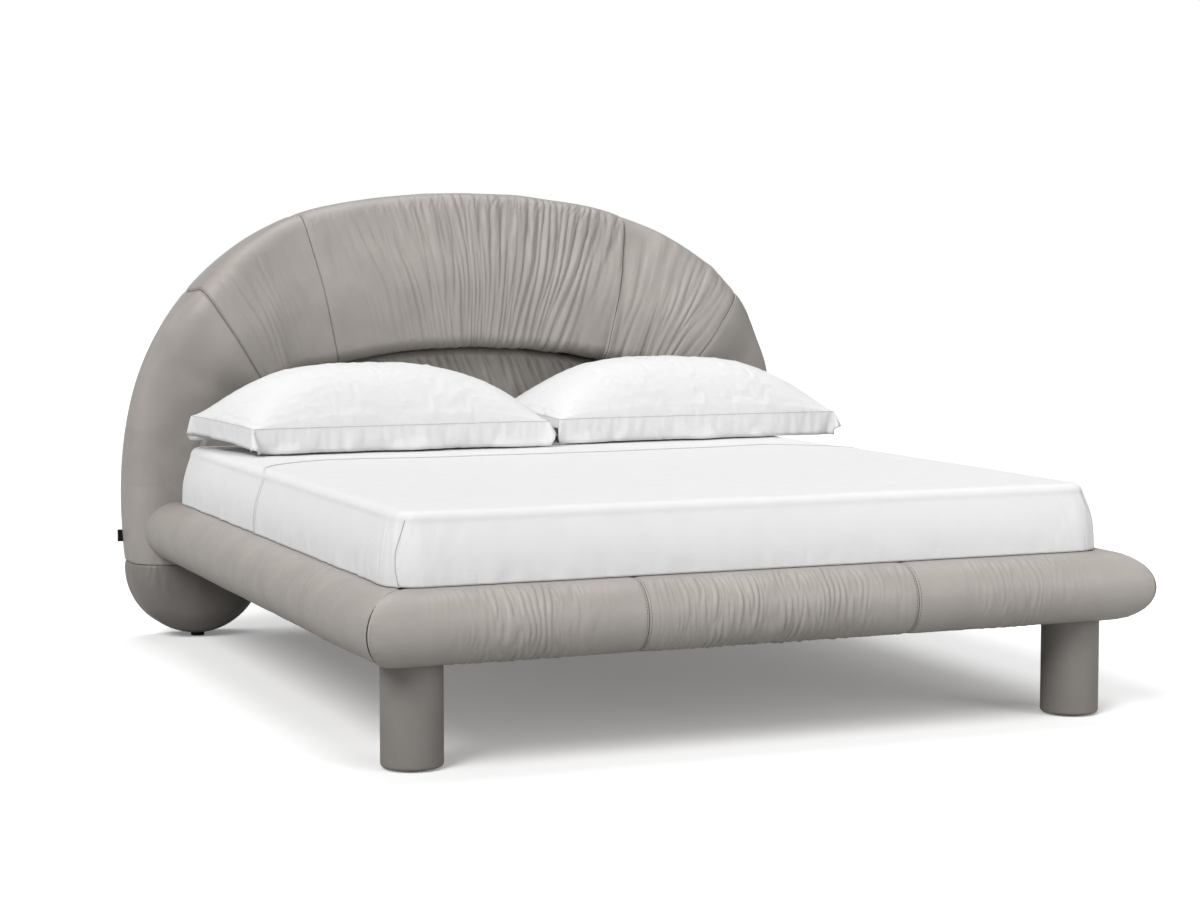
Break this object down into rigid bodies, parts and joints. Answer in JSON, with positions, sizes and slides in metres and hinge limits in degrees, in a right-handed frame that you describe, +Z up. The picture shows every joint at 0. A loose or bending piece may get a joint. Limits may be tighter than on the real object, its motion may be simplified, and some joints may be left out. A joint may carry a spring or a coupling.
{
  "type": "bed",
  "caption": "Upholstered double bed with a padded arched roll headboard ending in round lobes, D-shaped padded rails, round front legs, slat base, mattress, sheets and pillows.",
  "frame": {"origin": "on the floor, midway between the foot rail's outer face and the headboard's back face, on the centre line", "axes": "+Y from the foot towards the headboard, +X to the right seen from the foot, +Z up"},
  "size_m": [2.1422, 2.34, 1.331],
  "materials": {
    "leather": "semi-matte",
    "foam": "matte",
    "board": "raw",
    "slat_wood": "satin",
    "steel": "satin",
    "fasteners": "zinc plated",
    "black_plastic": "matte",
    "ticking": "matte",
    "cotton": "matte",
    "filling": "matte",
    "tab_fabric": "matte"
  },
  "bodies": {
    "frame": {"back_cover": "leather", "centre_beam": "steel", "centre_foot": "black_plastic", "centre_leg": "steel", "corner_plate_left": "steel", "corner_plate_right": "steel", "crown_cover": "leather", "crown_foam": "foam", "foot_beam": "board", "foot_hanger": "steel", "foot_rail_cover_centre": "leather", "foot_rail_cover_left": "leather", "foot_rail_cover_right": "leather", "foot_rail_foam": "foam", "frame_screws": "fasteners", "front_leg_left": "leather", "front_leg_right": "leather", "head_bolts": "fasteners", "head_bracket_left": "steel", "head_bracket_right": "steel", "head_cross_rail": "steel", "head_glide_left": "black_plastic", "head_glide_right": "black_plastic", "headboard_board": "board", "label_tab": "tab_fabric", "leg_bolts": "fasteners", "leg_glide_left": "black_plastic", "leg_glide_right": "black_plastic", "lobe_cover_left": "leather", "lobe_cover_right": "leather", "panel_cover": "leather", "panel_foam": "foam", "shoulder_cover_left": "leather", "shoulder_cover_right": "leather", "shoulder_foam_left": "foam", "shoulder_foam_right": "foam", "side_beam_left": "board", "side_beam_right": "board", "side_cover_left": "leather", "side_cover_right": "leather", "side_foam_left": "foam", "side_foam_right": "foam", "side_ledge_left": "steel", "side_ledge_right": "steel", "side_rail_cover_left": "leather", "side_rail_cover_right": "leather", "side_rail_foam_left": "foam", "side_rail_foam_right": "foam", "slat_holders_centre": "black_plastic", "slat_holders_left": "black_plastic", "slat_holders_right": "black_plastic", "slats_left": "slat_wood", "slats_right": "slat_wood"},
    "mattress": {"mattress": "ticking", "fitted_sheet": "cotton", "top_sheet": "cotton"},
    "pillow_left": {"pillow_left": "filling", "pillowcase_left": "cotton"},
    "pillow_right": {"pillow_right": "filling", "pillowcase_right": "cotton"}
  },
  "joints": [
    {"name": "mattress_lift", "type": "slide", "parent": "frame", "child": "mattress", "axis": [0, 0, 1], "range_m": [0, 0.035]},
    {"name": "pillow_left_lift", "type": "slide", "parent": "mattress", "child": "pillow_left", "axis": [0, -0.5, 0.866], "range_m": [0, 0.25]},
    {"name": "pillow_right_lift", "type": "slide", "parent": "mattress", "child": "pillow_right", "axis": [0, -0.5, 0.866], "range_m": [0, 0.25]}
  ]
}
